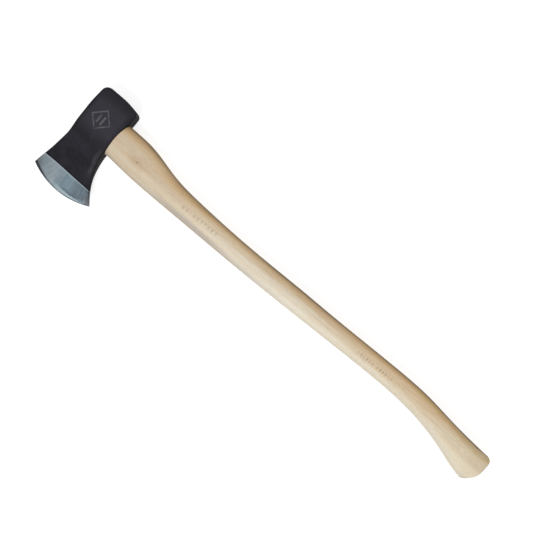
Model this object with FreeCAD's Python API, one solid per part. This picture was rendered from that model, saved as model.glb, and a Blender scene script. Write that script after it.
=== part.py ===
"""Felling axe: a forged single-bit head on a curved hickory handle, wedged in the eye.

Five pieces: the head, the handle, the hardwood wedge in the handle's kerf and two barbed steel wedges
driven slantwise across it. The axe lies on its cheek: +X runs along the handle from the head to the
knob, +Y from the cutting edge towards the poll, +Z is up. Everything is built about the middle of the
eye, with z = 0 in the plane of the cutting edge, and is moved at the end so that the origin is at the
bottom centre of the whole axe. Lengths are in millimetres.
"""
import FreeCAD, Part
import math
import os

from FreeCAD import Vector

# --- Head: outline seen from the side, each row (y, x of the top, x of the bottom) ---
HEAD_OUTLINE = [
    (66.0, -34.5, 36.8),
    (44.0, -36.3, 37.2),
    (35.0, -36.8, 37.0),
    (24.0, -37.2, 35.6),
    (4.0, -36.8, 33.9),
    (-17.0, -36.4, 33.5),
    (-37.0, -36.0, 33.8),
    (-57.0, -39.1, 37.5),
    (-78.0, -42.8, 43.9),
    (-98.0, -47.4, 54.9),
    (-115.0, -51.3, 67.9),
    (-136.0, -56.4, 87.4),
]
# Half thickness of the head along its length, measured halfway down the cheek.
HEAD_HALF_THICKNESS = [
    (66.0, 14.6),
    (40.0, 15.6),
    (10.0, 16.6),
    (-12.0, 16.5),
    (-30.0, 14.6),
    (-48.0, 11.4),
    (-66.0, 9.0),
    (-90.0, 6.9),
    (-136.0, 4.4),
]
CHEEK_CROWN_POLL = 0.3
CHEEK_CROWN_BIT = 2.6
CHEEK_EDGE_RADIUS_POLL = 4.5
CHEEK_EDGE_RADIUS_BIT = 1.6
CHEEK_EDGE_FLAT = 0.2  # half of the flat that is at least left between two rounded edges
HEAD_SECTIONS = 14

# --- Poll: a flat striking face that leans so that its top stands out, and falls away near its foot ---
POLL_FACE_Y = 61.9
POLL_LEAN_DEG = 1.4
POLL_FALL_X = 12.0
POLL_FALL_LEAN_DEG = 11.5
POLL_FALL_RADIUS = 100.0
POLL_TOP_RADIUS = 12.0
POLL_BOTTOM_RADIUS = 6.5
POLL_CHEEK_RADIUS = 5.0
POLL_CLEARANCE = 0.3  # the roundings start this far outside the forging, so that they cut cleanly

# --- Cutting edge: an arc, with a ground bevel and a narrow honed bevel along it ---
EDGE_RADIUS = 133.0
EDGE_APEX = (9.6, -130.7)
EDGE_HALF_THICKNESS = 0.15
HONED_WIDTH = 6.0
HONED_HALF_THICKNESS = 1.5
BEVEL_SLOPE = 0.166
BEVEL_STARTS_Y = -70.0

# --- Eye: an oval hole, narrowest a little below its middle ---
EYE_Y = -1.0
EYE_LENGTH_TOP, EYE_WIDTH_TOP = 61.0, 22.0
EYE_LENGTH_WAIST, EYE_WIDTH_WAIST = 58.5, 19.0
EYE_LENGTH_BOTTOM, EYE_WIDTH_BOTTOM = 60.5, 20.5
EYE_WAIST_X = 12.0
EYE_REACH = 48.0

# --- Handle: the two edges seen from the side, and its thickness ---
HANDLE_BACK = [
    (20.0, 32.4),
    (66.0, 32.2),
    (88.0, 30.2),
    (114.0, 24.9),
    (141.0, 17.6),
    (172.0, 11.9),
    (214.0, 8.2),
    (277.0, 4.9),
    (360.0, 3.3),
    (440.0, 3.7),
    (500.0, 3.1),
    (630.0, 3.9),
    (685.0, 3.4),
    (726.0, 0.8),
    (767.0, -4.7),
    (807.0, -9.3),
    (850.0, -12.6),
    (890.0, -14.5),
]
HANDLE_FRONT = [
    (20.0, -30.6),
    (50.0, -31.8),
    (72.0, -33.8),
    (100.0, -35.4),
    (160.0, -36.6),
    (236.0, -37.3),
    (304.0, -38.0),
    (400.0, -37.8),
    (480.0, -36.4),
    (563.0, -34.8),
    (617.0, -34.2),
    (655.0, -34.6),
    (699.0, -37.3),
    (740.0, -43.3),
    (780.0, -52.7),
    (815.0, -64.1),
    (840.0, -70.6),
    (862.0, -73.4),
    (890.0, -74.5),
]
HANDLE_HALF_THICKNESS = [
    (20.0, 13.4),
    (66.0, 13.8),
    (140.0, 13.6),
    (260.0, 13.0),
    (450.0, 12.6),
    (620.0, 12.1),
    (720.0, 12.4),
    (790.0, 13.8),
    (845.0, 15.2),
    (890.0, 15.4),
]
HANDLE_SQUARENESS = 2.25  # exponent of the superellipse: 2 is an ellipse, more is squarer
HANDLE_SECTIONS = 32
POINTS_PER_SECTION = 24
HANDLE_STARTS_X, HANDLE_RUNS_TO_X = 20.0, 890.0

# --- Knob: where the handle's end is sawn off, seen from the side ---
KNOB_BACK = (845.0, -11.6)  # on the back edge, where the rounding may start
KNOB_END_BACK = (869.2, -13.3)
KNOB_END_FRONT = (863.9, -52.0)
KNOB_TOE = (846.7, -73.4)
KNOB_FRONT = (825.0, -70.5)
KNOB_BACK_RADIUS = 9.0
KNOB_END_FRONT_RADIUS = 28.0
KNOB_TOE_RADIUS = 8.0
KNOB_EDGE_RADIUS = 3.5

# --- Kerf, hardwood wedge and steel wedges ---
TONGUE_END_X = -37.0
KERF_DEPTH = 64.0
KERF_WIDTH = 1.2
WOOD_WEDGE_LENGTH = 52.0
WOOD_WEDGE_HALF_TOP, WOOD_WEDGE_HALF_TIP = 3.6, 0.9
STEEL_WEDGE_WIDTH = 19.0
STEEL_WEDGE_LENGTH = 26.0
STEEL_WEDGE_HALF_TOP, STEEL_WEDGE_HALF_TIP = 1.9, 0.35
STEEL_WEDGE_BARBS = 3
STEEL_WEDGE_BARB_DEPTH = 0.35
STEEL_WEDGE_TURN_DEG = 45.0
STEEL_WEDGE_SPACING = 25.0
WEDGE_END_X = -37.2

FAR = 200.0  # beyond the head and the knob, for the solids that only cut
PARTS_FOLDER = "parts"


def smooth_profile(rows, column=1):
    """A C2 curve through rows of (position, value, ...), as a function of position."""
    curve = Part.BSplineCurve()
    points = [Vector(row[0], row[column], 0) for row in sorted(rows)]
    curve.interpolate(Points=points, Parameters=[point.x for point in points])
    return lambda position: curve.value(position).y


def spread(start, end, count):
    """count values from start to end, evenly spaced."""
    return [start + (end - start) * i / (count - 1) for i in range(count)]


def closed_wire(edges):
    return Part.Wire(Part.__sortEdges__([edge.toShape() for edge in edges]))


# --- Head ---


def head_section(y, top, bottom, half_thickness, crown, radius):
    """One cross-section of the head: crowned cheeks, flat top and bottom, four rounded corners."""
    shoulder = half_thickness - crown
    quarter = radius * (1 - math.sqrt(0.5))
    middle = (top + bottom) / 2

    def at(x, z):
        return Vector(x, y, z)

    edges = []
    for side in (1, -1):
        edges.append(
            Part.Arc(
                at(top + radius, side * shoulder),
                at(middle, side * half_thickness),
                at(bottom - radius, side * shoulder),
            )
        )
    for end, inward in ((top, 1), (bottom, -1)):
        edges.append(Part.LineSegment(at(end, radius - shoulder), at(end, shoulder - radius)))
        for side in (1, -1):
            edges.append(
                Part.Arc(
                    at(end, side * (shoulder - radius)),
                    at(end + inward * quarter, side * (shoulder - quarter)),
                    at(end + inward * radius, side * shoulder),
                )
            )
    return closed_wire(edges)


def head_blank():
    """The forging before its bevels are ground: sections lofted from the poll to past the edge."""
    top = smooth_profile(HEAD_OUTLINE, 1)
    bottom = smooth_profile(HEAD_OUTLINE, 2)
    half_thickness = smooth_profile(HEAD_HALF_THICKNESS)
    poll_y, bit_y = HEAD_OUTLINE[0][0], HEAD_OUTLINE[-1][0]
    sections = []
    for y in spread(poll_y, bit_y, HEAD_SECTIONS):
        share = (poll_y - y) / (poll_y - bit_y)
        crown = CHEEK_CROWN_POLL + (CHEEK_CROWN_BIT - CHEEK_CROWN_POLL) * share
        radius = CHEEK_EDGE_RADIUS_POLL + (CHEEK_EDGE_RADIUS_BIT - CHEEK_EDGE_RADIUS_POLL) * share
        radius = min(radius, half_thickness(y) - crown - CHEEK_EDGE_FLAT)
        sections.append(head_section(y, top(y), bottom(y), half_thickness(y), crown, radius))
    return Part.makeLoft(sections, True, False)


def bevel_envelope():
    """What the grinding leaves: a flat double cone whose rim is the cutting edge, and all behind it."""
    honed_start = EDGE_RADIUS - HONED_WIDTH
    centre_half = HONED_HALF_THICKNESS + honed_start * BEVEL_SLOPE
    rim = [
        (0, centre_half),
        (honed_start, HONED_HALF_THICKNESS),
        (EDGE_RADIUS, EDGE_HALF_THICKNESS),
        (EDGE_RADIUS, -EDGE_HALF_THICKNESS),
        (honed_start, -HONED_HALF_THICKNESS),
        (0, -centre_half),
    ]
    centre = Vector(EDGE_APEX[0], EDGE_APEX[1] + EDGE_RADIUS, 0)
    points = [centre + Vector(r, 0, z) for r, z in rim]
    profile = Part.Face(Part.makePolygon(points + points[:1]))
    cone = profile.revolve(centre, Vector(0, 0, 1), 360)
    behind = Part.makeBox(2 * FAR, FAR, 2 * FAR, Vector(-FAR, BEVEL_STARTS_Y, -FAR))
    return cone.fuse(behind)


def rounded_prism(corners, place, sweep):
    """A prism whose outline has rounded corners. Each corner is (a, b, radius), place turns (a, b) into
    a point of the outline's plane, and sweep is the vector from the prism's one end to the other."""
    points = [place(a, b) for a, b, _ in corners]
    edges = []
    ends = []
    for i, (_, _, radius) in enumerate(corners):
        corner = points[i]
        before = (points[i - 1] - corner).normalize()
        after = (points[(i + 1) % len(points)] - corner).normalize()
        if not radius:
            ends.append((corner, corner))
            continue
        half_angle = before.getAngle(after) / 2
        reach = radius / math.tan(half_angle)
        middle = (before + after).normalize()
        depth = radius / math.sin(half_angle) - radius
        start, end = corner + before * reach, corner + after * reach
        edges.append(Part.Arc(start, corner + middle * depth, end))
        ends.append((start, end))
    for (_, leave), (arrive, _) in zip(ends, ends[1:] + ends[:1]):
        edges.append(Part.LineSegment(leave, arrive))
    return Part.Face(closed_wire(edges)).extrude(sweep)


def poll_envelopes():
    """Prisms that the poll is cut to: its rounded outline from the side, and its rounded cheeks."""
    lean, fall_lean = (math.tan(math.radians(angle)) for angle in (POLL_LEAN_DEG, POLL_FALL_LEAN_DEG))
    fall_y = POLL_FACE_Y - lean * POLL_FALL_X
    (_, top_x, bottom_x), (start_y, top_start_x, bottom_start_x) = HEAD_OUTLINE[:2]
    top_x, top_start_x = top_x - POLL_CLEARANCE, top_start_x - POLL_CLEARANCE
    bottom_x, bottom_start_x = bottom_x + POLL_CLEARANCE, bottom_start_x + POLL_CLEARANCE
    from_side = [
        (top_x, POLL_FACE_Y - lean * top_x, POLL_TOP_RADIUS),
        (POLL_FALL_X, fall_y, POLL_FALL_RADIUS),
        (bottom_x, fall_y - fall_lean * (bottom_x - POLL_FALL_X), POLL_BOTTOM_RADIUS),
        (bottom_start_x, start_y, 0),
        (FAR, start_y, 0),
        (FAR, -FAR, 0),
        (-FAR, -FAR, 0),
        (-FAR, start_y, 0),
        (top_start_x, start_y, 0),
    ]
    prisms = [rounded_prism(from_side, lambda x, y: Vector(x, y, -FAR), Vector(0, 0, 2 * FAR))]
    half, start_half = (row[1] + POLL_CLEARANCE for row in HEAD_HALF_THICKNESS[:2])
    start_y = HEAD_HALF_THICKNESS[1][0]
    from_above = [
        (fall_y, -half, POLL_CHEEK_RADIUS),
        (fall_y, half, POLL_CHEEK_RADIUS),
        (start_y, start_half, 0),
        (start_y, FAR, 0),
        (-FAR, FAR, 0),
        (-FAR, -FAR, 0),
        (start_y, -FAR, 0),
        (start_y, -start_half, 0),
    ]
    for slope in (lean, fall_lean):
        sweep = Vector(FAR, -FAR * slope, 0)
        start = Vector(POLL_FALL_X, 0, 0) - sweep / 2
        prisms.append(rounded_prism(from_above, lambda y, z: start + Vector(0, y, z), sweep))
    return prisms


def make_outer_head():
    """The head without its eye."""
    head = head_blank().common(bevel_envelope())
    for prism in poll_envelopes():
        head = head.common(prism)
    return head


def oval(x, length, width):
    """A wire around the eye at x, longest along y."""
    ellipse = Part.Ellipse(Vector(x, EYE_Y + length / 2, 0), Vector(x, EYE_Y, width / 2), Vector(x, EYE_Y, 0))
    return Part.Wire(ellipse.toShape())


def eye_plug(reach_top, reach_bottom):
    """The solid that fills the eye, from reach_top above its middle to reach_bottom below."""
    stations = [
        (-EYE_REACH, EYE_LENGTH_TOP, EYE_WIDTH_TOP),
        (EYE_WAIST_X, EYE_LENGTH_WAIST, EYE_WIDTH_WAIST),
        (EYE_REACH, EYE_LENGTH_BOTTOM, EYE_WIDTH_BOTTOM),
    ]
    plug = Part.makeLoft([oval(*station) for station in stations], True, False)
    length = reach_top + reach_bottom
    return plug.common(Part.makeBox(length, 2 * FAR, 2 * FAR, Vector(-reach_top, -FAR, -FAR)))


# --- Handle ---


def handle_section(x, back, front, half_thickness):
    """A squarish oval across the handle at x."""
    middle, half_width = (back + front) / 2, (back - front) / 2
    power = 2 / HANDLE_SQUARENESS
    points = []
    for i in range(POINTS_PER_SECTION):
        angle = 2 * math.pi * i / POINTS_PER_SECTION
        c, s = math.cos(angle), math.sin(angle)
        y = middle + half_width * math.copysign(abs(c) ** power, c)
        z = half_thickness * math.copysign(abs(s) ** power, s)
        points.append(Vector(x, y, z))
    curve = Part.BSplineCurve()
    curve.interpolate(Points=points, PeriodicFlag=True)
    return Part.Wire(curve.toShape())


def handle_blank():
    back, front = smooth_profile(HANDLE_BACK), smooth_profile(HANDLE_FRONT)
    half_thickness = smooth_profile(HANDLE_HALF_THICKNESS)
    stations = spread(HANDLE_STARTS_X, HANDLE_RUNS_TO_X, HANDLE_SECTIONS)
    sections = [handle_section(x, back(x), front(x), half_thickness(x)) for x in stations]
    return Part.makeLoft(sections, True, False)


def knob_envelope():
    """Everything on the head's side of the sawn knob end, as a prism along z."""
    corners = [
        (-FAR, FAR, 0),
        (KNOB_BACK[0], FAR, 0),
        (*KNOB_BACK, 0),
        (*KNOB_END_BACK, KNOB_BACK_RADIUS),
        (*KNOB_END_FRONT, KNOB_END_FRONT_RADIUS),
        (*KNOB_TOE, KNOB_TOE_RADIUS),
        (*KNOB_FRONT, 0),
        (KNOB_FRONT[0], -FAR, 0),
        (-FAR, -FAR, 0),
    ]
    return rounded_prism(corners, lambda x, y: Vector(x, y, -FAR), Vector(0, 0, 2 * FAR))


def shaft():
    """The handle below the head, with its knob sawn and its end eased."""
    sawn = handle_blank().common(knob_envelope())
    end_faces = [face for face in sawn.Faces if face.CenterOfMass.x > KNOB_FRONT[0]]
    edges = {}
    for face in end_faces:
        for edge in face.Edges:
            edges.setdefault(edge.hashCode(), []).append(edge)
    rim = [found[0] for found in edges.values() if len(found) == 1]
    return sawn.makeFillet(KNOB_EDGE_RADIUS, rim)


def wood_wedge_blank():
    tip_x = TONGUE_END_X + WOOD_WEDGE_LENGTH
    corners = [
        Vector(WEDGE_END_X, 0, WOOD_WEDGE_HALF_TOP),
        Vector(tip_x, 0, WOOD_WEDGE_HALF_TIP),
        Vector(tip_x, 0, -WOOD_WEDGE_HALF_TIP),
        Vector(WEDGE_END_X, 0, -WOOD_WEDGE_HALF_TOP),
    ]
    profile = Part.Face(Part.makePolygon(corners + corners[:1]))
    profile.translate(Vector(0, -FAR, 0))
    return profile.extrude(Vector(0, 2 * FAR, 0))


def kerf():
    """The saw slot below the wooden wedge's tip."""
    return Part.makeBox(KERF_DEPTH, 2 * FAR, KERF_WIDTH, Vector(TONGUE_END_X, -FAR, -KERF_WIDTH / 2))


def steel_wedge(offset):
    """A stepped steel wedge, driven in at a slant across the wooden one, offset along y."""
    side = []
    step = STEEL_WEDGE_LENGTH / STEEL_WEDGE_BARBS
    taper = (STEEL_WEDGE_HALF_TOP - STEEL_WEDGE_HALF_TIP) / STEEL_WEDGE_BARBS
    for i in range(STEEL_WEDGE_BARBS):
        half = STEEL_WEDGE_HALF_TOP - taper * i
        barb = STEEL_WEDGE_BARB_DEPTH if i < STEEL_WEDGE_BARBS - 1 else 0
        side.append((step * i, half))
        side.append((step * (i + 1), half - taper - barb))
    outline = side + [(x, -half) for x, half in reversed(side)]
    points = [Vector(WEDGE_END_X + x, -STEEL_WEDGE_WIDTH / 2, z) for x, z in outline]
    wedge = Part.Face(Part.makePolygon(points + points[:1])).extrude(Vector(0, STEEL_WEDGE_WIDTH, 0))
    wedge.rotate(Vector(), Vector(1, 0, 0), STEEL_WEDGE_TURN_DEG)
    wedge.translate(Vector(0, EYE_Y + offset, 0))
    return wedge


def make_wood_wedge(plug, steel):
    wedge = wood_wedge_blank().common(plug)
    for piece in steel:
        wedge = wedge.cut(piece)
    return wedge


def make_handle(outer_head, plug, steel):
    below = shaft().cut(outer_head)
    below = max(below.Solids, key=lambda s: s.Volume)
    handle = below.fuse(plug).removeSplitter()
    for piece in [wood_wedge_blank(), kerf(), *steel]:
        handle = handle.cut(piece)
    return max(handle.Solids, key=lambda s: s.Volume)


def build():
    outer_head = make_outer_head()
    plug = eye_plug(-TONGUE_END_X, EYE_REACH)
    wedge_plug = eye_plug(-WEDGE_END_X, EYE_REACH)
    steel = [steel_wedge(offset) for offset in (-STEEL_WEDGE_SPACING / 2, STEEL_WEDGE_SPACING / 2)]
    return {
        "axe_head": outer_head.cut(eye_plug(EYE_REACH, EYE_REACH)),
        "handle": make_handle(outer_head, plug, steel),
        "wood_wedge": make_wood_wedge(wedge_plug, steel),
        "steel_wedge_front": steel[0],
        "steel_wedge_rear": steel[1],
    }


def export(nodes):
    """Moves the axe so that the origin is at its bottom centre, and writes one STEP for each piece."""
    box = Part.makeCompound(list(nodes.values())).optimalBoundingBox(False)
    to_origin = Vector(-box.Center.x, -box.Center.y, -box.ZMin)
    print("offset of the eye's middle in the row frame, mm:", to_origin)
    print("overall size, mm:", round(box.XLength, 1), round(box.YLength, 1), round(box.ZLength, 1))
    os.makedirs(PARTS_FOLDER, exist_ok=True)
    for name, shape in nodes.items():
        shape.translate(to_origin)
        shape.exportStep(os.path.join(PARTS_FOLDER, name + ".step"))
        volume_cm3 = round(shape.Volume / 1000, 1)
        print(name, "solids", len(shape.Solids), "valid", shape.isValid(), "cm3", volume_cm3)


export(build())
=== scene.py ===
"""The look of the felling axe: forged head, hickory handle and its wedges, on a pale studio floor.

Lengths named in the constants are in millimetres from the middle of the eye, as in the CAD source:
x runs from the head to the knob, y from the cutting edge to the poll, z is up. The camera, the lights,
the floor and the meshes are in metres, in the frame of the whole axe.
"""
import bmesh
import bpy
import math
import numpy as np
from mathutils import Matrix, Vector, noise
from mathutils.bvhtree import BVHTree


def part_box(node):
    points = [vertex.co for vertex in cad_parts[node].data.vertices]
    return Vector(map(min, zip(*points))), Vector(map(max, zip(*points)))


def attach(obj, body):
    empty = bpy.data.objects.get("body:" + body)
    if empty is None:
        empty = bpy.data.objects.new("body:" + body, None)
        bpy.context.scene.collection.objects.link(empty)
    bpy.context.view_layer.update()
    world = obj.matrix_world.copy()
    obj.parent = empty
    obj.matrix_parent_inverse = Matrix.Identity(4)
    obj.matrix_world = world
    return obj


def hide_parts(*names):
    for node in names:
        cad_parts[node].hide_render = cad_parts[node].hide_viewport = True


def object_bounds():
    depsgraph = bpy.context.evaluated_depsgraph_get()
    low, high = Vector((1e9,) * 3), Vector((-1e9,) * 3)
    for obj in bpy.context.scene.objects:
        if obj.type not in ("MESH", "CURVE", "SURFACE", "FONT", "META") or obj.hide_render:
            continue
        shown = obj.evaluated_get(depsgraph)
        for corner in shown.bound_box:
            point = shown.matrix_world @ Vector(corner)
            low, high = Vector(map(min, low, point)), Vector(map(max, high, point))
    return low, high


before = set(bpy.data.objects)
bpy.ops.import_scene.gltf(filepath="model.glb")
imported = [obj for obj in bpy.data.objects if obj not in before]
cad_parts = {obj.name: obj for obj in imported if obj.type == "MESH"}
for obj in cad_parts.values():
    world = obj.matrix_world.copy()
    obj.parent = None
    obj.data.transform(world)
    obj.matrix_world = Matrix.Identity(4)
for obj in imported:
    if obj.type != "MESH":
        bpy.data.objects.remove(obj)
cad_low, cad_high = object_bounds()

# --- Where things are ---
MM = 0.001
WEDGE_TOP_X = -37.2
EDGE_APEX_Y = -130.7
EYE_MIDDLE = Vector((
    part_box("steel_wedge_front")[0].x - WEDGE_TOP_X * MM,
    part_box("axe_head")[0].y - EDGE_APEX_Y * MM,
    (cad_low.z + cad_high.z) / 2,
))

# --- Head ---
HEAD_TOP = [(66, -34.5), (44, -36.3), (35, -36.8), (24, -37.2), (4, -36.8), (-17, -36.4), (-37, -36),
            (-57, -39.1), (-78, -42.8), (-98, -47.4), (-115, -51.3), (-136, -56.4)]
HEAD_BOTTOM = [(66, 36.8), (44, 37.2), (35, 37), (24, 35.6), (4, 33.9), (-17, 33.5), (-37, 33.8),
               (-57, 37.5), (-78, 43.9), (-98, 54.9), (-115, 67.9), (-136, 87.4)]
HEAD_HALF = [(66, 14.6), (40, 15.6), (10, 16.6), (-12, 16.5), (-30, 14.6), (-48, 11.4), (-66, 9), (-90, 6.9),
             (-136, 4.4)]
FORGING_ENDS_Y = (66, -136)
CROWN = (0.3, 2.6)
CORNER_RADIUS = (4.5, 1.6)
POLL_FACE_Y = 61.9
POLL_LEAN, POLL_FALL_LEAN = math.tan(math.radians(1.4)), math.tan(math.radians(11.5))
POLL_FALL_X = (3.2, 20.8)
POLL_TOP_RADIUS, POLL_BOTTOM_RADIUS, POLL_CHEEK_RADIUS = 12.0, 6.5, 5.0
EDGE_CENTRE_X, EDGE_RADIUS = 9.6, 133.0
HONED_WIDTH, HONED_HALF, BEVEL_SLOPE, BEVEL_ENDS_Y = 6.0, 1.5, 0.166, -45.0
SMALLEST_RING_RADIUS = 95.0
FORGING_WAVE, FORGING_WAVELENGTH = 0.16, 17.0
EYE_Y = -1.0
EYE_SECTIONS = [(-60, 61.4, 22.4), (-38.2, 63.6, 24.4), (-35.2, 61.2, 22.2), (12, 58.9, 19.4), (60, 61, 21)]

# How finely the head is divided.
CHEEK_POINTS, CORNER_STEPS, WALL_POINTS, EYE_POINTS = 72, 8, 14, 96
CHEEK_RINGS, HONED_RINGS, POLL_RINGS = 110, 9, 8
OUTLINE_PASSES = 12
OUTLINE_GUESS_X = 37.0
# How deep behind the poll the rings stop following its face, and where they take up the cutting edge's arc.
POLL_FOLLOWED_TO, EDGE_FOLLOWED_FROM, EDGE_FOLLOWED_OVER = 40, 75, 75
PAINT_EDGE_Y, PAINT_EDGE_WIDTH = -98, 12
HEAD_SHARP_DEG, HANDLE_SHARP_DEG = 35, 50
MERGED_WITHIN = 0.02

# --- Handle ---
SHAFT_STARTS_X, SHAFT_SAMPLED_FROM_X, KNOB_PIVOT_X = 30.0, 40.0, 836.0
RINGS, RING_POINTS, KNOB_RINGS = 270, 80, 44
SMOOTHING_PASSES = 6
TONGUE_SHOWN = 20.0
TONGUE_END_TOLERANCE = 0.01

# --- Camera and studio ---
CAMERA_DISTANCE = 1.0
CAMERA_X, CAMERA_Y = -0.0098, 0.0275
CAMERA_TURN_DEG = 39.5
HALF_VIEW = 0.476
FLOOR_SIZE = 40
KEY_LIGHT_PLACE, KEY_LIGHT_SIZE, KEY_LIGHT_POWER = (0.05, -1.15, 1.15), 1.0, 18.5


def smooth_profile(rows):
    """The natural cubic spline through (position, value) rows, as a function of position."""
    position, value = np.array(sorted(rows), dtype=float).T
    gap = np.diff(position)
    system, right = np.eye(len(rows)), np.zeros(len(rows))
    for i in range(1, len(rows) - 1):
        system[i, i - 1:i + 2] = gap[i - 1], 2 * (gap[i - 1] + gap[i]), gap[i]
        right[i] = 6 * ((value[i + 1] - value[i]) / gap[i] - (value[i] - value[i - 1]) / gap[i - 1])
    bend = np.linalg.solve(system, right)

    def at(where):
        i = np.clip(np.searchsorted(position, where) - 1, 0, len(gap) - 1)
        a = (position[i + 1] - where) / gap[i]
        b = 1 - a
        curved = (a**3 - a) * bend[i] + (b**3 - b) * bend[i + 1]
        return a * value[i] + b * value[i + 1] + curved * gap[i]**2 / 6

    return at


def smoothstep(share):
    share = np.clip(share, 0, 1)
    return share * share * (3 - 2 * share)


def rounding(distance, radius):
    """How far a corner of this radius has drawn in, at a distance from the face that it ends in."""
    left = np.clip(radius - distance, 0, radius)
    return radius - np.sqrt(radius**2 - left**2)


def to_metres(points):
    return [EYE_MIDDLE + Vector(p) * MM for p in points]


def new_object(name, mesh, sharp_deg):
    """Makes an object of the mesh, kept inside the box that the CAD bodies fill."""
    for vert in mesh.vertices:
        vert.co = [min(max(c, low), high) for c, low, high in zip(vert.co, cad_low, cad_high)]
    mesh.set_sharp_from_angle(angle=math.radians(sharp_deg))
    piece = bpy.data.objects.new(name, mesh)
    bpy.context.scene.collection.objects.link(piece)
    return piece


def lattice(rings, merge):
    """A bmesh of closed rings of equal length, joined one to the next. Points closer than merge become
    one, which closes an end whose last ring has shrunk to a line or a point."""
    made = bmesh.new()
    rows = [[made.verts.new(p) for p in to_metres(ring)] for ring in rings]
    for first, second in zip(rows, rows[1:]):
        for i in range(len(first)):
            made.faces.new((first[i - 1], first[i], second[i], second[i - 1]))
    bmesh.ops.remove_doubles(made, verts=made.verts, dist=merge)
    bmesh.ops.recalc_face_normals(made, faces=made.faces)
    for face in made.faces:
        face.smooth = True
    return made


# --- Head mesh ---

head_top, head_bottom, head_half = (smooth_profile(rows) for rows in (HEAD_TOP, HEAD_BOTTOM, HEAD_HALF))
edge_centre_y = EDGE_APEX_Y + EDGE_RADIUS


def poll_face_y(x):
    start, end = POLL_FALL_X
    change = POLL_FALL_LEAN - POLL_LEAN
    bending = np.clip(x - start, 0, end - start)
    return POLL_FACE_Y - POLL_LEAN * x - change * (bending**2 / 2 / (end - start) + np.maximum(x - end, 0))


def bevel_half(x, y):
    """Half thickness that the grinding leaves at a point of the bit."""
    inside = EDGE_RADIUS - np.hypot(x - EDGE_CENTRE_X, y - edge_centre_y)
    honed = np.clip(inside, 0, HONED_WIDTH) / HONED_WIDTH * HONED_HALF
    return honed + np.maximum(inside - HONED_WIDTH, 0) * BEVEL_SLOPE


def head_ring(depth):
    """One ring round the head, at a depth behind the poll face. Near the poll the rings follow the face,
    and near the bit they follow the cutting edge."""
    apex = POLL_FACE_Y - depth
    follow_poll = 1 - smoothstep(depth / POLL_FOLLOWED_TO)
    follow_edge = smoothstep((depth - EDGE_FOLLOWED_FROM) / EDGE_FOLLOWED_OVER)
    radius = max(edge_centre_y - apex, SMALLEST_RING_RADIUS)

    def line(x):
        sag = radius - np.sqrt(radius**2 - (x - EDGE_CENTRE_X)**2)
        return apex + follow_poll * (poll_face_y(x) - POLL_FACE_Y) + follow_edge * sag

    top, bottom = -OUTLINE_GUESS_X, OUTLINE_GUESS_X
    for _ in range(OUTLINE_PASSES):
        top, bottom = head_top(line(top)), head_bottom(line(bottom))
    top = top + rounding(depth, POLL_TOP_RADIUS)
    bottom = bottom - rounding(depth, POLL_BOTTOM_RADIUS)
    share = (FORGING_ENDS_Y[0] - apex) / (FORGING_ENDS_Y[0] - FORGING_ENDS_Y[1])
    crown = CROWN[0] + (CROWN[1] - CROWN[0]) * share
    corner = CORNER_RADIUS[0] + (CORNER_RADIUS[1] - CORNER_RADIUS[0]) * share
    across = np.linspace(0, 1, CHEEK_POINTS)
    x = top + corner + (bottom - top - 2 * corner) * across
    z = head_half(line(x)) - crown * (2 * across - 1)**2
    turn = np.linspace(0, math.pi / 2, CORNER_STEPS)[1:]
    x = np.concatenate([top + corner * (1 - np.sin(turn[::-1])), x, bottom - corner * (1 - np.sin(turn))])
    fall = corner * (1 - np.cos(turn))
    z = np.concatenate([z[0] - fall[::-1], z, z[-1] - fall]) - rounding(depth, POLL_CHEEK_RADIUS)
    y = line(x)
    z = np.where(y < BEVEL_ENDS_Y, np.minimum(z, bevel_half(x, y)), z)
    wall = np.linspace(1, -1, WALL_POINTS)[1:-1]
    upper = list(zip(x, y, z))
    lower = list(zip(x[::-1], y[::-1], -z[::-1]))
    bottom_wall = [(x[-1], y[-1], z[-1] * w) for w in wall]
    top_wall = [(x[0], y[0], -z[0] * w) for w in wall]
    return upper + bottom_wall + lower + top_wall


def poll_cap():
    """Rings on the poll face, from its middle line out towards its rim."""
    rim = head_ring(0)
    half = max(z for _, _, z in rim)
    low, high = min(x for x, _, _ in rim) + half, max(x for x, _, _ in rim) - half
    for share in np.linspace(1, 1 / POLL_RINGS, POLL_RINGS):
        ring = []
        for x, _, z in rim:
            inner = min(max(x, low), high)
            x = x + (inner - x) * share
            ring.append((x, poll_face_y(x), z * (1 - share)))
        yield ring


def eye_cutter():
    rings = []
    for x, length, width in EYE_SECTIONS:
        turn = np.linspace(0, 2 * math.pi, EYE_POINTS + 1)[:-1]
        rings.append([(x, EYE_Y + length / 2 * math.cos(t), width / 2 * math.sin(t)) for t in turn])
    made = lattice(rings, 0)
    for end in (0, len(rings) - 1):
        made.verts.ensure_lookup_table()
        made.faces.new(made.verts[end * EYE_POINTS:(end + 1) * EYE_POINTS])
    bmesh.ops.recalc_face_normals(made, faces=made.faces)
    mesh = bpy.data.meshes.new("eye_cutter")
    made.to_mesh(mesh)
    made.free()
    cutter = bpy.data.objects.new("eye_cutter", mesh)
    bpy.context.scene.collection.objects.link(cutter)
    return cutter


def forge(made):
    """Lets the surface wave in and out a little, as a drop forging does, except on the ground bit."""
    for vert in made.verts:
        where = (vert.co - EYE_MIDDLE) / MM
        wave = noise.noise(where / FORGING_WAVELENGTH) + 0.5 * noise.noise(where / FORGING_WAVELENGTH * 2.3)
        painted = smoothstep((where.y - PAINT_EDGE_Y) / PAINT_EDGE_WIDTH)
        vert.co -= vert.normal * (0.5 + 0.5 * wave) * FORGING_WAVE * painted * MM


def rounding_steps(radius):
    """Depths at even steps round a corner."""
    return radius * (1 - np.cos(np.linspace(0, math.pi / 2, CORNER_STEPS)[:-1]))


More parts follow.
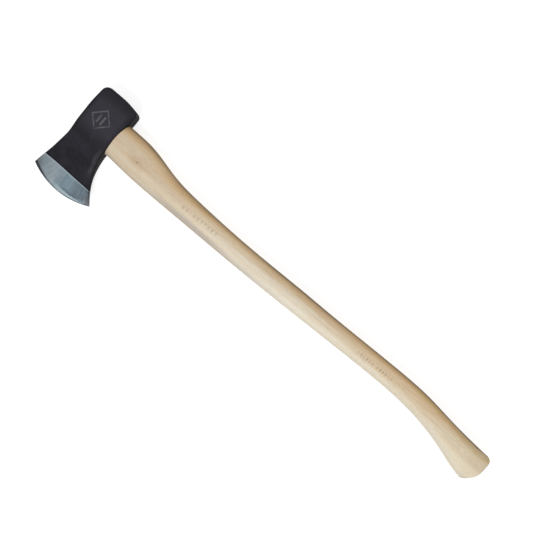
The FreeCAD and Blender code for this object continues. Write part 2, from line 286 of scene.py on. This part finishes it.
def make_head():
    longest = POLL_FACE_Y - EDGE_APEX_Y
    depths = np.concatenate([
        rounding_steps(POLL_CHEEK_RADIUS),
        np.linspace(POLL_CHEEK_RADIUS, longest - HONED_WIDTH, CHEEK_RINGS)[1:],
        np.linspace(longest - HONED_WIDTH, longest, HONED_RINGS)[1:],
    ])
    rings = list(poll_cap()) + [head_ring(depth) for depth in depths]
    made = lattice(rings, MERGED_WITHIN * MM)
    made.normal_update()
    forge(made)
    mesh = bpy.data.meshes.new("head_forging")
    made.to_mesh(mesh)
    made.free()
    blank = bpy.data.objects.new("head_blank", mesh)
    bpy.context.scene.collection.objects.link(blank)
    cutter = eye_cutter()
    cut = blank.modifiers.new("eye", "BOOLEAN")
    cut.object = cutter
    cut.solver = "EXACT"
    result = bpy.data.meshes.new_from_object(blank.evaluated_get(bpy.context.evaluated_depsgraph_get()))
    bpy.data.objects.remove(blank)
    bpy.data.objects.remove(cutter)
    return new_object("head_forging", result, HEAD_SHARP_DEG)


# --- Handle mesh ---


def ray_hit(tree, start, direction):
    _, _, _, distance = tree.ray_cast(EYE_MIDDLE + Vector(start) * MM, Vector(direction))
    return distance / MM


def make_handle():
    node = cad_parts["handle"]
    tree = BVHTree.FromPolygons([v.co for v in node.data.vertices], [f.vertices for f in node.data.polygons])
    turn = np.linspace(0, 2 * math.pi, RING_POINTS + 1)[:-1]
    rings = []
    middles = []
    middle = 0.0
    for x in np.linspace(SHAFT_SAMPLED_FROM_X, KNOB_PIVOT_X, RINGS):
        back = ray_hit(tree, (x, middle, 0), (0, 1, 0))
        front = ray_hit(tree, (x, middle, 0), (0, -1, 0))
        middle = middle + (back - front) / 2
        half_width = (back + front) / 2
        half_thickness = ray_hit(tree, (x, middle, 0), (0, 0, 1))
        middles.append((x, middle, half_width))
        ring = []
        for t in turn:
            direction = Vector((0, half_width * math.cos(t), half_thickness * math.sin(t))).normalized()
            reach = ray_hit(tree, (x, middle, 0), direction)
            ring.append(Vector((x, middle, 0)) + direction * reach)
        rings.append(ring)
    shape = np.array(rings)
    for _ in range(SMOOTHING_PASSES):
        shape[1:-1] = shape[:-2] / 4 + shape[1:-1] / 2 + shape[2:] / 4
    pivot = Vector((KNOB_PIVOT_X, middle, 0))
    start = shape[0].copy()
    start[:, 0] = SHAFT_STARTS_X
    rings = [start, *shape]
    outward = [(Vector(p) - pivot).normalized() for p in shape[-1]]
    for tilt in np.linspace(0, math.pi / 2, KNOB_RINGS)[1:]:
        ring = []
        for side in outward:
            direction = side * math.cos(tilt) + Vector((math.sin(tilt), 0, 0))
            ring.append(pivot + direction * ray_hit(tree, pivot, direction))
        rings.append(ring)
    made = lattice(rings, MERGED_WITHIN * MM)
    made.verts.ensure_lookup_table()
    made.faces.new(made.verts[:RING_POINTS])
    add_tongue(made, node)
    mesh = bpy.data.meshes.new("handle_wood")
    made.to_mesh(mesh)
    made.free()
    store_across(mesh, middles)
    return new_object("handle_wood", mesh, HANDLE_SHARP_DEG)


def add_tongue(made, node):
    """The end of the tongue that shows in the eye: the CAD end face, drawn a little way down."""
    points = node.data.vertices
    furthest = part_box("handle")[0].x + TONGUE_END_TOLERANCE * MM
    down = Vector((TONGUE_SHOWN * MM, 0, 0))
    upper, lower, places, sides = {}, {}, {}, {}
    for polygon in node.data.polygons:
        if any(points[i].co.x >= furthest for i in polygon.vertices):
            continue
        corners = []
        for i in polygon.vertices:
            corner = places.setdefault(tuple(round(v, 6) for v in points[i].co), i)
            if corner not in upper:
                upper[corner] = made.verts.new(points[corner].co)
                lower[corner] = made.verts.new(points[corner].co + down)
            corners.append(corner)
        made.faces.new([upper[c] for c in corners])
        made.faces.new([lower[c] for c in reversed(corners)])
        for first, second in zip(corners, corners[1:] + corners[:1]):
            sides[first, second] = True
    for first, second in sides:
        if (second, first) not in sides:
            made.faces.new((upper[second], upper[first], lower[first], lower[second]))


def store_across(mesh, middles):
    """Stores how far each point of the handle is from its front edge (-1) to its back edge (1)."""
    ring_x, ring_y, ring_half = np.array(middles).T
    x, y, _ = (np.array([v.co - EYE_MIDDLE for v in mesh.vertices]) / MM).T
    across = (y - np.interp(x, ring_x, ring_y)) / np.interp(x, ring_x, ring_half)
    mesh.attributes.new("across", "FLOAT", "POINT").data.foreach_set("value", across)


# --- Materials ---


class Nodes:
    """Short names for building a material's nodes. Positions are in millimetres from the eye's middle."""

    def __init__(self, name):
        self.material = bpy.data.materials.new(name)
        self.material.use_nodes = True
        self.tree = self.material.node_tree
        self.shader = self.tree.nodes["Principled BSDF"]
        coordinates = self.tree.nodes.new("ShaderNodeTexCoord")
        mapping = self.tree.nodes.new("ShaderNodeMapping")
        mapping.inputs["Scale"].default_value = (1 / MM,) * 3
        mapping.inputs["Location"].default_value = -EYE_MIDDLE / MM
        self.tree.links.new(coordinates.outputs["Object"], mapping.inputs["Vector"])
        self.place = mapping.outputs["Vector"]
        split = self.tree.nodes.new("ShaderNodeSeparateXYZ")
        self.tree.links.new(self.place, split.inputs[0])
        self.x, self.y, self.z = split.outputs

    def put(self, socket, value):
        if isinstance(value, bpy.types.NodeSocket):
            self.tree.links.new(value, socket)
        elif isinstance(value, tuple) and len(value) == 3 and socket.type == "RGBA":
            socket.default_value = (*value, 1)
        else:
            socket.default_value = value

    def math(self, operation, *values, clamp=False):
        node = self.tree.nodes.new("ShaderNodeMath")
        node.operation = operation
        node.use_clamp = clamp
        for socket, value in zip(node.inputs, values):
            self.put(socket, value)
        return node.outputs[0]

    def add(self, a, b):
        return self.math("ADD", a, b)

    def sub(self, a, b):
        return self.math("SUBTRACT", a, b)

    def mul(self, a, b):
        return self.math("MULTIPLY", a, b)

    def step(self, value, low, high):
        """0 at low and on its side, 1 at high and on its side, smooth between. low may be above high."""
        node = self.tree.nodes.new("ShaderNodeMapRange")
        node.interpolation_type = "SMOOTHSTEP"
        flip = low > high
        settings = (value, min(low, high), max(low, high), flip * 1.0, 1.0 - flip)
        for socket, setting in zip(node.inputs, settings):
            self.put(socket, setting)
        return node.outputs[0]

    def vector(self, x, y, z):
        node = self.tree.nodes.new("ShaderNodeCombineXYZ")
        for socket, value in zip(node.inputs, (x, y, z)):
            self.put(socket, value)
        return node.outputs[0]

    def noise(self, scales, detail=3.0, roughness=0.55, offset=0.0, where=None):
        """Noise with a scale per millimetre along each axis."""
        mapping = self.tree.nodes.new("ShaderNodeMapping")
        mapping.inputs["Scale"].default_value = scales
        mapping.inputs["Location"].default_value = (offset,) * 3
        self.put(mapping.inputs["Vector"], where or self.place)
        node = self.tree.nodes.new("ShaderNodeTexNoise")
        self.put(node.inputs["Vector"], mapping.outputs[0])
        self.put(node.inputs["Scale"], 1.0)
        self.put(node.inputs["Detail"], detail)
        self.put(node.inputs["Roughness"], roughness)
        return node.outputs[0]

    def mix(self, share, a, b):
        node = self.tree.nodes.new("ShaderNodeMix")
        node.data_type = "RGBA"
        self.put(node.inputs[0], share)
        self.put(node.inputs[6], a)
        self.put(node.inputs[7], b)
        return node.outputs[2]

    def facing(self):
        """How far the surface faces along each axis, from -1 to 1."""
        geometry = self.tree.nodes.new("ShaderNodeNewGeometry")
        split = self.tree.nodes.new("ShaderNodeSeparateXYZ")
        self.put(split.inputs[0], geometry.outputs["Normal"])
        return split.outputs

    def bump(self, height, distance, strength=1.0, normal=None):
        """A bump whose height of 1 stands this many millimetres proud."""
        node = self.tree.nodes.new("ShaderNodeBump")
        self.put(node.inputs["Height"], height)
        self.put(node.inputs["Distance"], distance * MM)
        self.put(node.inputs["Strength"], strength)
        if normal:
            self.put(node.inputs["Normal"], normal)
        return node.outputs[0]

    def finish(self, **sockets):
        for name, value in sockets.items():
            self.put(self.shader.inputs[name.replace("_", " ")], value)
        return self.material


def spot(n, x, y, length, width):
    """Distance from (x, y), as a share of an oval of this half length and half width."""
    across = n.math("DIVIDE", n.sub(n.x, x), length)
    along = n.math("DIVIDE", n.sub(n.y, y), width)
    return n.math("SQRT", n.add(n.mul(across, across), n.mul(along, along)))


def row_of_diamonds(n, start, end, middle_y, height, pitch):
    """A mask for a branded row of plain diamonds on the upper side of the handle."""
    count = round((end - start) / pitch)
    cell = n.sub(n.math("FRACT", n.math("DIVIDE", n.sub(n.x, start), pitch)), 0.5)
    wide = n.mul(n.math("ABSOLUTE", cell), 2.3)
    high = n.math("DIVIDE", n.math("ABSOLUTE", n.sub(n.y, middle_y)), height / 2)
    diamond = n.add(wide, high)
    solid = n.step(diamond, 1.0, 0.8)
    inside = n.mul(n.math("GREATER_THAN", n.x, start), n.math("LESS_THAN", n.x, start + count * pitch))
    return n.mul(n.mul(solid, inside), n.math("GREATER_THAN", n.z, 0.0))


def make_hickory(name, tint=(1.0, 1.0, 1.0)):
    n = Nodes(name)
    knot = spot(n, 87.5, -7, 26, 11)
    knob_knot = spot(n, 846, -38, 30, 13)
    swirl = n.add(n.step(knot, 1.6, 0.0), n.step(knob_knot, 1.5, 0.0))
    drift = n.noise((0.006, 0.028, 0.028), detail=2.0)
    ring_y = n.add(n.y, 70.0)
    ring_z = n.add(n.z, 118.0)
    from_pith = n.math("SQRT", n.add(n.mul(ring_y, ring_y), n.mul(ring_z, ring_z)))
    grown = n.add(n.add(from_pith, n.mul(drift, 15.0)), n.mul(swirl, 7.0))
    ring = n.math("FRACT", n.math("DIVIDE", grown, 2.6))
    late = n.mul(n.step(ring, 0.25, 0.95), n.step(ring, 1.0, 0.96))
    fibre = n.noise((0.016, 1.3, 1.3), detail=4.0, roughness=0.65)
    streak = n.noise((0.0035, 0.11, 0.11), detail=3.0, offset=40.0)
    pore = n.noise((0.075, 3.2, 3.2), detail=1.0, offset=11.0)
    pores = n.mul(n.step(pore, 0.60, 0.70), n.step(late, 0.75, 0.2))
    attribute = n.tree.nodes.new("ShaderNodeAttribute")
    attribute.attribute_name = "across"
    side = attribute.outputs["Fac"]
    across = n.add(side, n.mul(n.sub(streak, 0.5), 0.5))
    pale = n.mul(n.step(n.x, 220, 340), n.step(n.x, 520, 400))
    warm = n.mul(n.mul(n.step(n.x, 470, 600), n.step(n.x, 790, 700)), n.step(across, -0.6, 0.0))
    # Strength of the painted shade on the front (belly) side, changing along the handle.
    belly_shade_strength = n.sub(n.add(0.4, n.mul(n.step(n.x, 90, 190), 0.5)), n.mul(n.step(n.x, 290, 470), 0.5))
    colour = n.mix(n.step(streak, 0.38, 0.68), (0.79, 0.68, 0.52), (0.70, 0.555, 0.375))
    blush = n.noise((0.016, 0.06, 0.06), detail=3.0, offset=23.0)
    colour = n.mix(n.mul(n.step(blush, 0.50, 0.66), 0.24), colour, (0.80, 0.58, 0.40))
    colour = n.mix(n.mul(n.step(blush, 0.48, 0.34), 0.24), colour, (0.74, 0.70, 0.48))
    colour = n.mix(n.mul(pale, 0.38), colour, (0.84, 0.79, 0.66))
    colour = n.mix(n.mul(n.step(n.x, 260, 150), 0.24), colour, (0.60, 0.43, 0.26))
    belly_tint = n.mul(n.step(across, 0.0, -0.5), n.mul(n.step(n.x, 320, 460), 0.4))
    colour = n.mix(belly_tint, colour, (0.77, 0.75, 0.62))
    colour = n.mix(n.mul(warm, 0.5), colour, (0.74, 0.54, 0.33))
    colour = n.mix(n.mul(n.step(across, 0.1, 0.6), 0.75), colour, (0.80, 0.57, 0.32))
    knob = n.step(n.x, 730, 830)
    colour = n.mix(n.mul(knob, 0.6), colour, (0.85, 0.74, 0.54))
    brown = n.mul(n.step(across, 0.45, 0.9), n.sub(0.8, n.mul(knob, 0.55)))
    colour = n.mix(brown, colour, (0.67, 0.43, 0.205))
    waist = n.mul(n.step(n.x, 320, 390), n.mul(n.step(n.x, 540, 460), n.step(across, 0.1, 0.45)))
    colour = n.mix(n.mul(waist, 0.22), colour, (0.52, 0.35, 0.18))
    gold = n.mul(n.step(blush, 0.47, 0.58), n.mul(n.step(side, 0.45, 0.75), n.step(n.x, 560, 700)))
    colour = n.mix(n.mul(gold, 0.5), colour, (0.68, 0.46, 0.17))
    # Darker brown along the back edge: partly the heartwood's colour, partly painted shade where the handle
    # turns away from the light.
    dark = n.mul(n.step(across, 0.78, 1.05), n.sub(0.8, n.mul(knob, 0.35)))
    colour = n.mix(dark, colour, (0.34, 0.225, 0.115))
    # Painted shade: the front (belly) side darkened towards grey, and its very edge more so.
    colour = n.mix(n.mul(n.step(across, -0.35, -0.9), belly_shade_strength), colour, (0.45, 0.43, 0.38))
    colour = n.mix(n.mul(n.step(side, -0.70, -0.98), 0.42), colour, (0.42, 0.40, 0.345))
    # Painted shade: a greyer band along the front side, between about x 130 and 320.
    belly_shade_band = n.mul(n.step(side, -0.40, -0.80), n.mul(n.step(n.x, 130, 190), n.step(n.x, 320, 250)))
    colour = n.mix(n.mul(belly_shade_band, 0.6), colour, (0.38, 0.33, 0.28))
    # Painted shade: a thin dark line at the very front edge, towards the head.
    belly_shade_line = n.mul(n.step(side, -0.80, -0.95), n.step(n.x, 380, 280))
    colour = n.mix(n.mul(belly_shade_line, 0.5), colour, (0.32, 0.26, 0.19))
    # Painted shade: a dark line along the back edge, stronger over some stretches of the handle.
    back_shade_middle = n.mul(n.mul(n.step(n.x, 340, 400), n.step(n.x, 570, 500)), 0.22)
    back_shade_line = n.add(n.mul(n.step(n.x, 240, 330), 0.3), back_shade_middle)
    back_shade_line = n.mul(n.step(side, 0.76, 0.92), n.add(back_shade_line, 0.25))
    colour = n.mix(n.mul(back_shade_line, n.step(n.x, 800, 660)), colour, (0.20, 0.13, 0.065))
    # Painted shade: a near-black line at the very back edge, stronger towards the knob.
    rim = n.mul(n.step(side, 0.88, 0.95), n.add(n.mul(n.step(n.x, 640, 720), 0.42), 0.5))
    colour = n.mix(rim, colour, (0.075, 0.048, 0.022))
    colour = n.mix(n.mul(late, 0.26), colour, n.mix(0.5, colour, (0.34, 0.20, 0.09)))
    colour = n.mix(n.mul(n.step(fibre, 0.42, 0.72), 0.22), colour, (0.46, 0.32, 0.19))
    colour = n.mix(n.mul(pores, 0.35), colour, (0.26, 0.16, 0.09))
    colour = n.mix(n.mul(n.step(knot, 1.2, 0.0), 0.42), colour, (0.50, 0.34, 0.20))
    colour = n.mix(n.mul(n.step(spot(n, 88.3, -7.4, 3.4, 1.7), 1.1, 0.3), 0.55), colour, (0.16, 0.10, 0.06))
    colour = n.mix(n.mul(n.step(knob_knot, 1.0, 0.1), 0.14), colour, (0.52, 0.33, 0.20))
    end = n.step(n.math("ABSOLUTE", n.facing()[0]), 0.55, 0.9)
    speck = n.noise((0.4, 1.5, 1.5), detail=3.0, offset=5.0)
    end_grain = n.mix(n.step(speck, 0.4, 0.65), (0.55, 0.38, 0.22), (0.34, 0.21, 0.11))
    colour = n.mix(n.mul(end, 0.45), colour, end_grain)
    brand = n.add(
        row_of_diamonds(n, 192, 270, -15.6, 8.2, 7.8),
        n.mul(n.add(
            row_of_diamonds(n, 575, 611, -16.4, 7.0, 6.0),
            row_of_diamonds(n, 616, 652, -16.2, 7.0, 6.0),
        ), 1.5),
    )
    burnt = n.mul(brand, n.step(n.noise((0.09, 0.09, 0.09), offset=3.0), 0.2, 0.6))
    colour = n.mix(n.mul(burnt, 0.34), colour, (0.24, 0.15, 0.08))
    if tint != (1.0, 1.0, 1.0):
        colour = n.mix(0.75, colour, tint)
    height = n.sub(n.sub(n.add(n.mul(late, 0.5), n.mul(fibre, 0.6)), n.mul(pores, 0.9)), n.mul(brand, 0.8))
    rough = n.add(n.mul(fibre, 0.22), n.add(0.36, n.mul(end, 0.2)))
    bump = n.bump(height, 0.12, 0.8)
    return n.finish(Base_Color=colour, Roughness=rough, Normal=bump, Specular_IOR_Level=0.25)


def cheek_mark(n):
    """A plain stamped mark on the cheek: a square on its corner round two bars."""
    dx = n.math("ABSOLUTE", n.add(n.x, 3.0))
    dy = n.math("ABSOLUTE", n.sub(n.y, 9.8))
    diamond = n.add(dx, dy)
    outline = n.mul(n.step(diamond, 20.6, 19.8), n.step(diamond, 16.4, 17.2))
    bars = n.mul(n.mul(n.step(dx, 6.2, 5.5), n.step(dx, 2.0, 2.7)), n.step(dy, 8.4, 7.7))
    return n.mul(n.math("MAXIMUM", outline, bars), n.math("GREATER_THAN", n.z, 0.0))


def make_head_material():
    n = Nodes("forged_painted_steel")
    ragged = n.noise((0.5, 0.5, 0.5), detail=4.0)
    kink = n.math("MAXIMUM", n.add(n.x, 20.0), 0.0)
    line = n.add(n.add(n.y, n.mul(kink, 0.043)), n.mul(n.sub(ragged, 0.5), 0.8))
    ground = n.step(line, -92.55, -93.05)
    # Painted highlight: a thin bright line on the steel just below the paint's edge.
    below_paint = n.mul(n.step(line, -93.0, -93.5), n.step(line, -96.0, -94.2))
    paint_edge_highlight = n.mul(below_paint, n.step(n.x, 56.0, 46.0))
    dark_line = n.step(line, -89.6, -91.6)
    dx, dy = n.sub(n.x, EDGE_CENTRE_X), n.sub(n.y, edge_centre_y)
    radius = n.math("SQRT", n.add(n.mul(dx, dx), n.mul(dy, dy)))
    angle = n.math("ARCTAN2", dx, n.mul(dy, -1.0))
    polar = n.vector(n.mul(angle, EDGE_RADIUS), radius, n.z)
    scratch = n.noise((2.2, 0.05, 1.0), detail=4.0, roughness=0.7, where=polar)
    stroke = n.noise((0.32, 0.035, 0.1), detail=3.0, roughness=0.6, offset=13.0, where=polar)
    cloud = n.noise((0.035, 0.06, 0.05), detail=3.0, offset=7.0)
    grime = n.noise((0.09, 0.11, 0.1), detail=5.0, roughness=0.7, offset=19.0)
    along = n.add(n.x, n.mul(n.sub(cloud, 0.5), 26.0))
    honed_line = n.add(n.sub(radius, n.mul(angle, 15.5)), n.mul(n.sub(stroke, 0.5), 3.0))
    honed_reach = n.mul(n.step(angle, -0.24, 0.04), n.step(angle, 0.42, 0.34))
    honed = n.mul(n.step(honed_line, 124.0, 126.0), honed_reach)
    # A darker band along the last two millimetres of the cutting edge, stronger at some angles than at
    # others.
    cutting_edge_dark = n.step(n.sub(radius, n.mul(n.math("MINIMUM", angle, 0.0), 6.0)), 129.8, 131.8)
    cutting_edge_dark_strength = n.add(n.mul(n.step(angle, -0.15, -0.38), 0.4), n.mul(n.step(angle, 0.0, 0.1), 0.15))
    cutting_edge_dark = n.mul(cutting_edge_dark, n.add(cutting_edge_dark_strength, 0.5))
    shadow_reach = n.mul(n.step(angle, 0.0, 0.06), n.step(angle, 0.32, 0.2))
    shadow = n.mul(n.step(honed_line, 118.5, 122.0), shadow_reach)
    # Painted shade: a dark band on the steel just inside the heel and toe edges of the bit.
    beyond = n.sub(-98.0, n.y)
    from_heel = n.sub(n.add(n.mul(beyond, 0.765), 54.9), n.x)
    from_toe = n.add(n.add(n.x, n.mul(beyond, 0.229)), 47.4)
    heel_edge_shade = n.mul(n.step(from_heel, 2.8, 0.8), 0.85)
    toe_edge_shade = n.mul(n.step(from_toe, 1.9, 0.4), 0.5)
    side_edge_shade = n.math("MAXIMUM", heel_edge_shade, toe_edge_shade)
    toe = n.step(n.add(radius, n.mul(angle, -60.0)), 140.0, 157.0)
    steel = n.mix(n.step(along, -16.0, 14.0), (0.42, 0.48, 0.525), (0.25, 0.34, 0.395))
    steel = n.mix(n.mul(n.step(along, 16.0, 40.0), 0.92), steel, (0.132, 0.168, 0.198))
    steel = n.mix(n.mul(n.step(n.x, 47.0, 62.0), 0.9), steel, (0.085, 0.085, 0.092))
    steel = n.mix(n.mul(n.step(cloud, 0.50, 0.66), 0.4), steel, (0.26, 0.37, 0.385))
    steel = n.mix(n.mul(toe, 0.85), steel, (0.19, 0.195, 0.215))
    steel = n.mix(n.mul(n.step(grime, 0.5, 0.72), 0.35), steel, (0.17, 0.21, 0.24))
    steel = n.mix(n.mul(n.step(stroke, 0.52, 0.36), 0.20), steel, (0.14, 0.18, 0.205))
    steel = n.mix(n.mul(n.step(stroke, 0.52, 0.70), 0.20), steel, (0.52, 0.59, 0.63))
    steel = n.mix(n.mul(n.step(scratch, 0.48, 0.72), 0.20), steel, (0.58, 0.63, 0.67))
    steel = n.mix(n.mul(shadow, 0.45), steel, (0.10, 0.13, 0.15))
    steel = n.mix(n.mul(honed, 0.6), steel, (0.50, 0.58, 0.62))
    steel = n.mix(side_edge_shade, steel, (0.07, 0.07, 0.076))
    steel = n.mix(cutting_edge_dark, steel, (0.05, 0.053, 0.06))
    steel = n.mix(n.mul(paint_edge_highlight, 0.55), steel, (0.58, 0.64, 0.69))
    patch = n.noise((0.045, 0.045, 0.045), detail=4.0, offset=2.0)
    peel = n.noise((0.9, 0.9, 0.9), detail=2.0)
    scale = n.noise((0.22, 0.22, 0.22), detail=5.0, roughness=0.6, offset=31.0)
    paint = n.mix(n.step(patch, 0.35, 0.7), (0.0175, 0.0165, 0.0205), (0.0245, 0.024, 0.031))
    # Paint lighter over the cheek round the eye, and a little lighter towards the poll.
    lighter_middle = n.mul(n.step(n.y, -32.0, 0.0), n.step(n.y, 56.0, 34.0))
    lighter_middle = n.mul(lighter_middle, n.mul(n.step(n.x, -38.0, -24.0), n.step(n.x, 36.0, 24.0)))
    paint = n.mix(n.mul(lighter_middle, 0.8), paint, (0.049, 0.047, 0.058))
    paint = n.mix(n.mul(n.step(n.y, 30.0, 52.0), 0.4), paint, (0.032, 0.032, 0.035))
    # Painted highlight: a pale strip along the rounded lower edge of the cheek below the eye, where the light
    # catches it.
    below_eye = n.sub(n.x, n.add(28.0, n.mul(n.math("MAXIMUM", n.sub(-48.0, n.y), 0.0), 0.3)))
    cheek_edge_highlight_reach = n.mul(n.step(n.y, -84.0, -66.0), n.step(n.y, -26.0, -38.0))
    cheek_edge_highlight = n.mul(n.step(n.math("ABSOLUTE", below_eye), 5.5, 0.0), cheek_edge_highlight_reach)
    paint = n.mix(n.mul(cheek_edge_highlight, n.step(patch, 0.25, 0.6)), paint, (0.048, 0.047, 0.056))
    paint = n.mix(n.mul(n.step(scale, 0.54, 0.72), 0.4), paint, (0.044, 0.044, 0.050))
    paint = n.mix(n.mul(dark_line, 0.9), paint, (0.004, 0.006, 0.009))
    # Painted shade: paint on the steep walls that face sideways is darkened almost to black.
    wall = n.step(n.math("ABSOLUTE", n.facing()[2]), 0.85, 0.35)
    paint = n.mix(n.mul(wall, 0.92), paint, (0.0025, 0.0025, 0.0025))
    mark = cheek_mark(n)
    worn = n.mul(mark, n.step(n.noise((0.11, 0.11, 0.11), detail=3.0, offset=8.0), 0.25, 0.62))
    paint = n.mix(n.mul(worn, 0.9), paint, (0.135, 0.132, 0.142))
    colour = n.mix(ground, paint, steel)
    painted_rough = n.add(0.50, n.mul(patch, 0.16))
    steel_rough = n.add(n.add(0.34, n.mul(scratch, 0.18)), n.mul(honed, 0.06))
    rough = n.add(painted_rough, n.mul(ground, n.sub(steel_rough, painted_rough)))
    coarse = n.bump(n.sub(n.mul(scale, 0.8), n.mul(mark, 1.6)), 0.16, n.sub(1.0, ground))
    fine_height = n.add(n.mul(peel, n.sub(0.6, n.mul(ground, 0.6))), n.mul(n.mul(scratch, ground), 0.5))
    bump = n.bump(fine_height, 0.05, 0.7, coarse)
    return n.finish(Base_Color=colour, Metallic=ground, Roughness=rough, Normal=bump, Specular_IOR_Level=0.08)


def make_wedge_steel():
    n = Nodes("wedge_steel")
    grain = n.noise((2.2, 0.25, 2.2), detail=4.0, roughness=0.7)
    dull = n.noise((0.4, 0.4, 0.4), detail=4.0, offset=6.0)
    colour = n.mix(n.step(dull, 0.35, 0.7), (0.50, 0.49, 0.48), (0.24, 0.23, 0.22))
    colour = n.mix(n.mul(n.step(grain, 0.5, 0.7), 0.4), colour, (0.62, 0.62, 0.62))
    rough = n.add(0.30, n.mul(dull, 0.3))
    bump = n.bump(n.add(grain, dull), 0.1, 0.6)
    return n.finish(Base_Color=colour, Metallic=1.0, Roughness=rough, Normal=bump)


# --- Studio ---


def add_camera():
    data = bpy.data.cameras.new("camera")
    data.sensor_width = 36.0
    data.lens = data.sensor_width / 2 * CAMERA_DISTANCE / HALF_VIEW
    camera = bpy.data.objects.new("camera", data)
    bpy.context.scene.collection.objects.link(camera)
    camera.location = (CAMERA_X, CAMERA_Y, EYE_MIDDLE.z + CAMERA_DISTANCE)
    camera.rotation_euler = (0, 0, math.radians(CAMERA_TURN_DEG))
    bpy.context.scene.camera = camera


def add_light(name, location, size, power):
    data = bpy.data.lights.new(name, "AREA")
    data.shape = "DISK"
    data.size = size
    data.energy = power
    lamp = bpy.data.objects.new(name, data)
    bpy.context.scene.collection.objects.link(lamp)
    lamp.location = location
    lamp.rotation_euler = (-Vector(location)).to_track_quat("-Z", "Y").to_euler()


def add_studio():
    scene = bpy.context.scene
    scene.view_settings.view_transform = "Standard"
    scene.world = bpy.data.worlds.new("studio")
    scene.world.use_nodes = True
    background = scene.world.node_tree.nodes["Background"]
    background.inputs["Color"].default_value = (0.97, 0.985, 1.0, 1)
    background.inputs["Strength"].default_value = 0.5
    add_light("key", KEY_LIGHT_PLACE, KEY_LIGHT_SIZE, KEY_LIGHT_POWER)
    bpy.ops.mesh.primitive_plane_add(size=FLOOR_SIZE)
    floor = bpy.context.object
    floor.name = "studio_floor"
    n = Nodes("studio_floor")
    shade = n.mix(n.noise((0.002, 0.002, 0.002)), (0.44, 0.44, 0.44), (0.46, 0.46, 0.46))
    floor.data.materials.append(n.finish(
        Base_Color=shade, Roughness=0.9, Emission_Color=(1.0, 1.0, 1.0), Emission_Strength=0.78))


# --- Putting it together ---

add_camera()
add_studio()

head = make_head()
head.data.materials.clear()
head.data.materials.append(make_head_material())
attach(head, "root")
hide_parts("axe_head")

handle = make_handle()
handle.data.materials.append(make_hickory("hickory_wood"))
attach(handle, "root")
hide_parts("handle")

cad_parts["wood_wedge"].material_slots[0].material = make_hickory("wedge_hardwood", (0.40, 0.25, 0.13))
wedge_steel = make_wedge_steel()
for wedge in ("steel_wedge_front", "steel_wedge_rear"):
    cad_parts[wedge].material_slots[0].material = wedge_steel
